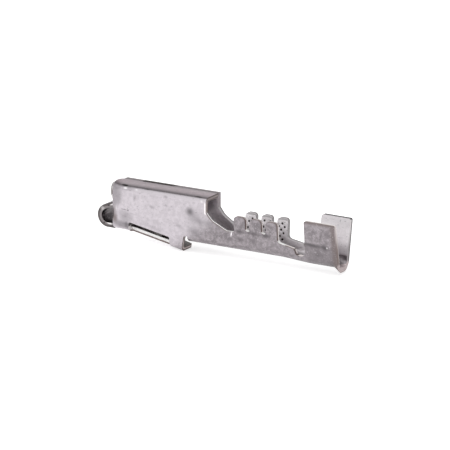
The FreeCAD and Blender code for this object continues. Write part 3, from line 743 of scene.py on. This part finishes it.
def cut_finish(normal):
    """Finish of a cut edge's face by the way it looks: up, along the strip or sideways."""
    if normal.z > LOOKS_UP:
        return CUT_TOP
    return CUT_END if abs(normal.x) > LOOKS_ALONG else CUT_SIDE


def sort_faces(piece, settings):
    """Gives each face its finish.

    The UV map called sheet holds, across a cut edge, the way through the sheet: 1 at the
    outer skin, which is the largest region, and 0 at the inner one.
    """
    mesh = bmesh.new()
    mesh.from_mesh(piece.data)
    mesh.normal_update()
    depth = mesh.loops.layers.uv.new("sheet")
    regions = face_regions(mesh, settings.smooth_angle)
    for group in regions:
        narrow = mean_width(group) < settings.strip_thickness * NARROW
        pit = narrow and reach(group) < PIT_REACH
        for face in group:
            face.smooth = True
            if pit:
                face.material_index = PIT
            elif narrow:
                face.material_index = cut_finish(face.normal)
            else:
                face.material_index = TIN
    outer_skin = {vert for face in regions[0] for vert in face.verts}
    for face in mesh.faces:
        for loop in face.loops:
            loop[depth].uv = (0.0, 1.0 if loop.vert in outer_skin else 0.0)
    mesh.to_mesh(piece.data)
    mesh.free()


class TERMINAL_OT_sheet(bpy.types.Operator):
    """Finishes the folded strip: rounded edges, satin tin and two-toned cut edges"""
    bl_idname = "terminal.sheet"
    bl_label = "Folded strip"

    def execute(self, context):
        settings = context.scene.terminal_sheet
        piece = copy_of_node(NODE, "folded_strip")
        for finish in FINISHES:
            piece.data.materials.append(finish(settings))

        # in mm, because in metres corners can't be merged at so small a distance
        select_only(piece)
        piece.data.transform(Matrix.Scale(1.0 / MM, 4))
        bpy.ops.object.mode_set(mode="EDIT")
        bpy.ops.mesh.select_all(action="SELECT")
        bpy.ops.mesh.remove_doubles(threshold=MERGE_DISTANCE)
        bpy.ops.object.mode_set(mode="OBJECT")
        sort_faces(piece, settings)

        rounding = piece.modifiers.new("rounded_edges", "BEVEL")
        rounding.width = settings.edge_rounding
        rounding.segments = 2
        rounding.limit_method = "ANGLE"
        rounding.angle_limit = settings.smooth_angle
        rounding.use_clamp_overlap = True
        rounding.miter_outer = "MITER_ARC"
        bpy.ops.object.modifier_apply(modifier=rounding.name)
        bpy.ops.object.shade_smooth_by_angle(angle=settings.smooth_angle)
        piece.data.transform(Matrix.Scale(MM, 4))
        piece.data.update()
        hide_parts(NODE)
        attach(piece, "root")
        return {"FINISHED"}


def aimed_at(item, target):
    item.rotation_mode = "QUATERNION"
    item.rotation_quaternion = (target - item.location).to_track_quat("-Z", "Y")


def seen_directly(n):
    """1 for what the camera, gloss or glass sees, 0 for the light that falls on things."""
    ray = n.add("ShaderNodeLightPath").outputs
    by_camera_or_gloss = n.math("MAXIMUM", ray["Is Camera Ray"], ray["Is Glossy Ray"])
    return n.math("MAXIMUM", by_camera_or_gloss, ray["Is Transmission Ray"])


def floor_material(settings):
    n = Finish("pale_floor")
    n.link(rgba(settings.floor_colour), n.shader["Base Color"])
    n.link(0.8, n.shader["Roughness"])
    n.link(0.1, n.shader["Specular IOR Level"])
    n.link((1.0, 1.0, 1.0, 1.0), n.shader["Emission Color"])
    n.link(n.times(seen_directly(n), settings.floor_lift), n.shader["Emission Strength"])
    return n.material


def white_backdrop(settings):
    """World: white in front of the object and grey behind it, and white where the camera looks."""
    world = bpy.data.worlds.new("white_backdrop")
    world.use_nodes = True
    bpy.context.scene.world = world
    n = Nodes(world.node_tree)
    round_from_front = n.y_of(n.add("ShaderNodeTexCoord").outputs["Generated"])
    grey = n.range(round_from_front, settings.grey_from, settings.grey_to,
                   settings.grey_above, settings.grey_behind, blend="LINEAR")
    lit = n.range(round_from_front, settings.white_to, settings.grey_from, 1.0, grey)
    seen = n.add("ShaderNodeLightPath").outputs["Is Camera Ray"]
    background = n.tree.nodes["Background"].inputs
    n.link((1.0, 1.0, 1.0, 1.0), background["Color"])
    n.link(n.math("MAXIMUM", lit, seen), background["Strength"])


def overhead_light(settings):
    """Square light above the object, turned to the middle of the picture."""
    light = bpy.data.objects.new("overhead_light", bpy.data.lights.new("overhead_light", "AREA"))
    light.data.size = settings.light_size
    light.data.energy = settings.light_power
    light.location = (0.0, 0.0, settings.light_height)
    light.visible_glossy = False
    aimed_at(light, AIM)
    bpy.context.scene.collection.objects.link(light)


def photo_camera(settings):
    """Camera that sees the object as the photograph does."""
    camera = bpy.data.objects.new("camera", bpy.data.cameras.new("camera"))
    camera.data.lens = settings.lens
    camera.data.sensor_width = SENSOR_WIDTH
    distance = settings.lens * PICTURE_WIDTH / SENSOR_WIDTH
    turn, rise = math.radians(AZIMUTH), math.radians(ELEVATION)
    back = Vector((math.sin(turn) * math.cos(rise), -math.cos(turn) * math.cos(rise),
                   math.sin(rise)))
    camera.location = AIM + back * distance
    aimed_at(camera, AIM)
    camera.data.clip_start = NEAREST_SEEN
    camera.data.clip_end = 2.0 * distance
    bpy.context.scene.collection.objects.link(camera)
    bpy.context.scene.camera = camera


class TERMINAL_OT_stage(bpy.types.Operator):
    """Pale floor, white backdrop, overhead light and the camera of the photograph"""
    bl_idname = "terminal.stage"
    bl_label = "Stage"

    def execute(self, context):
        settings = context.scene.terminal_stage
        bpy.ops.mesh.primitive_plane_add(size=settings.floor_size, location=(AIM.x, AIM.y, LOW.z))
        floor = context.object
        floor.name = "floor"
        bpy.ops.object.transform_apply(location=True)
        floor.data.materials.append(floor_material(settings))
        white_backdrop(settings)
        overhead_light(settings)
        photo_camera(settings)
        context.scene.view_settings.view_transform = "Standard"
        return {"FINISHED"}


class TERMINAL_PT_panel(bpy.types.Panel):
    bl_label = "Crimp terminal"
    bl_idname = "TERMINAL_PT_panel"
    bl_space_type = "VIEW_3D"
    bl_region_type = "UI"
    bl_category = "Crimp Terminal"

    def draw(self, context):
        for settings, operator in ((context.scene.terminal_sheet, TERMINAL_OT_sheet),
                                   (context.scene.terminal_stage, TERMINAL_OT_stage)):
            box = self.layout.box()
            for name in settings.__annotations__:
                box.prop(settings, name)
            box.operator(operator.bl_idname)


CLASSES = (SheetSettings, StageSettings, TERMINAL_OT_sheet, TERMINAL_OT_stage, TERMINAL_PT_panel)


def register():
    for cls in CLASSES:
        bpy.utils.register_class(cls)
    bpy.types.Scene.terminal_sheet = bpy.props.PointerProperty(type=SheetSettings)
    bpy.types.Scene.terminal_stage = bpy.props.PointerProperty(type=StageSettings)


def unregister():
    del bpy.types.Scene.terminal_stage
    del bpy.types.Scene.terminal_sheet
    for cls in reversed(CLASSES):
        bpy.utils.unregister_class(cls)


def main():
    register()
    bpy.ops.terminal.sheet()
    bpy.ops.terminal.stage()


if __name__ == "__main__":
    main()
